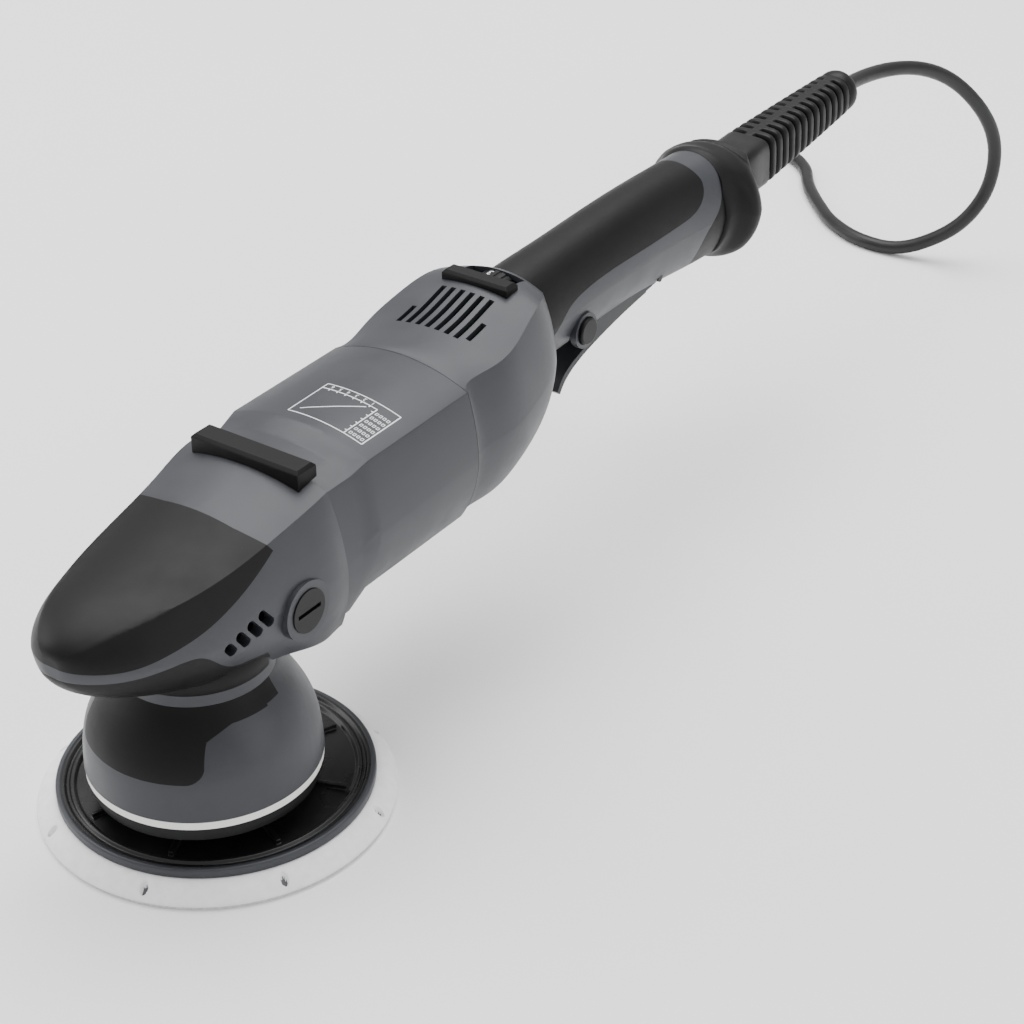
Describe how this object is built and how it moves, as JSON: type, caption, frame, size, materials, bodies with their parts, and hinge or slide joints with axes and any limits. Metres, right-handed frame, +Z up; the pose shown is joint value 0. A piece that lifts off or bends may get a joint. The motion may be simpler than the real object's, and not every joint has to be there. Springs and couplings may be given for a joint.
{
  "type": "dual action polisher",
  "caption": "Corded dual action polisher with a rounded nose, an orbiting round backing plate, a rear grip with a paddle trigger, a speed dial and a coiled mains cord.",
  "frame": {"origin": "on the drive spindle's axis, in the plane of the pad's hook face", "axes": "+Z up along the drive spindle, +Y from the nose to the handle, +X to the side with the lock button"},
  "size_m": [0.2661, 0.7966, 0.166],
  "materials": {
    "grey_plastic": "satin moulded",
    "soft_rubber": "soft satin",
    "black_plastic": "satin moulded",
    "dark_plastic": "satin moulded",
    "cord_rubber": "satin",
    "white_seal": "smooth",
    "plate_plastic": "semi-gloss",
    "pad_foam": "fine closed-cell foam",
    "hook_fabric": "hook pile",
    "cast_aluminium": "as cast",
    "steel": "ground",
    "core_iron": "laminated",
    "copper_wire": "enamelled",
    "brass": "drawn",
    "carbon": "carbon",
    "circuit_board": "coated",
    "nickel": "nickel plated"
  },
  "bodies": {
    "tool": {"gear_housing": "grey_plastic", "nose_rubber_upper": "soft_rubber", "nose_rubber_lower": "soft_rubber", "side_socket_plugs": "black_plastic", "gear_case": "cast_aluminium", "shroud": "grey_plastic", "shroud_front_inlay": "soft_rubber", "shroud_rear_web": "black_plastic", "shroud_seal_ring": "white_seal", "shroud_lip_ring": "black_plastic", "motor_housing": "grey_plastic", "front_rest_bar": "soft_rubber", "rear_rest_bar": "soft_rubber", "rear_housing_upper": "grey_plastic", "rear_housing_lower": "grey_plastic", "handle_shell_upper": "grey_plastic", "handle_shell_lower": "grey_plastic", "grip_rubber": "soft_rubber", "pommel": "soft_rubber", "strain_relief": "cord_rubber", "stator_core": "core_iron", "field_coils": "copper_wire", "armature_bearing_front": "steel", "armature_bearing_rear": "steel", "spindle_bearing_upper": "steel", "spindle_bearing_lower": "steel", "brush_holders": "brass", "carbon_brushes": "carbon", "brush_springs": "steel", "switch_block": "black_plastic", "speed_board": "circuit_board", "trigger_pin": "steel", "trigger_spring": "steel", "cord_clamp": "black_plastic", "housing_screws": "steel", "cord": "cord_rubber", "cord_hank": "cord_rubber", "cord_tie": "black_plastic", "plug_body": "cord_rubber", "plug_pins": "nickel"},
    "spindle": {"drive_spindle": "steel", "bevel_gear": "steel", "counterweight": "steel", "orbit_bearing": "steel"},
    "pad": {"pad_spindle": "steel", "backing_plate": "plate_plastic", "pad_foam": "pad_foam", "hook_face": "hook_fabric", "plate_screw": "steel"},
    "armature": {"armature_shaft": "steel", "armature_core": "core_iron", "armature_windings": "copper_wire", "commutator": "copper_wire", "cooling_fan": "black_plastic", "bevel_pinion": "steel"},
    "trigger": {"trigger": "dark_plastic"},
    "lock_button": {"lock_button": "black_plastic", "lock_button_spring": "steel"},
    "speed_dial": {"speed_dial": "black_plastic"}
  },
  "joints": [
    {"name": "spindle_turn", "type": "hinge", "parent": "tool", "child": "spindle", "pos_m": [0, 0, 0.07], "axis": [0, 0, 1], "continuous": true},
    {"name": "pad_turn", "type": "hinge", "parent": "spindle", "child": "pad", "pos_m": [-0.00392, 0.00974, 0.039], "axis": [0, 0, 1], "continuous": true},
    {"name": "armature_turn", "type": "hinge", "parent": "tool", "child": "armature", "pos_m": [0, 0.105, 0.115], "axis": [0, 1, 0], "continuous": true},
    {"name": "trigger_press", "type": "hinge", "parent": "tool", "child": "trigger", "pos_m": [0, 0.318, 0.1185], "axis": [-1, 0, 0], "range_deg": [0, 7], "stiffness_Nm_per_rad": 0.6, "springref_deg": -14.32},
    {"name": "lock_push", "type": "slide", "parent": "tool", "child": "lock_button", "axis": [-1, 0, 0], "range_m": [0, 0.0025], "stiffness_N_per_m": 400, "springref_m": -0.003},
    {"name": "speed_dial_turn", "type": "hinge", "parent": "tool", "child": "speed_dial", "pos_m": [0, 0.2045, 0.1496], "axis": [0, 1, 0], "range_deg": [-100, 100]}
  ],
  "couplings": [
    {"joint": "armature_turn", "follows": "spindle_turn", "ratio": 3}
  ]
}
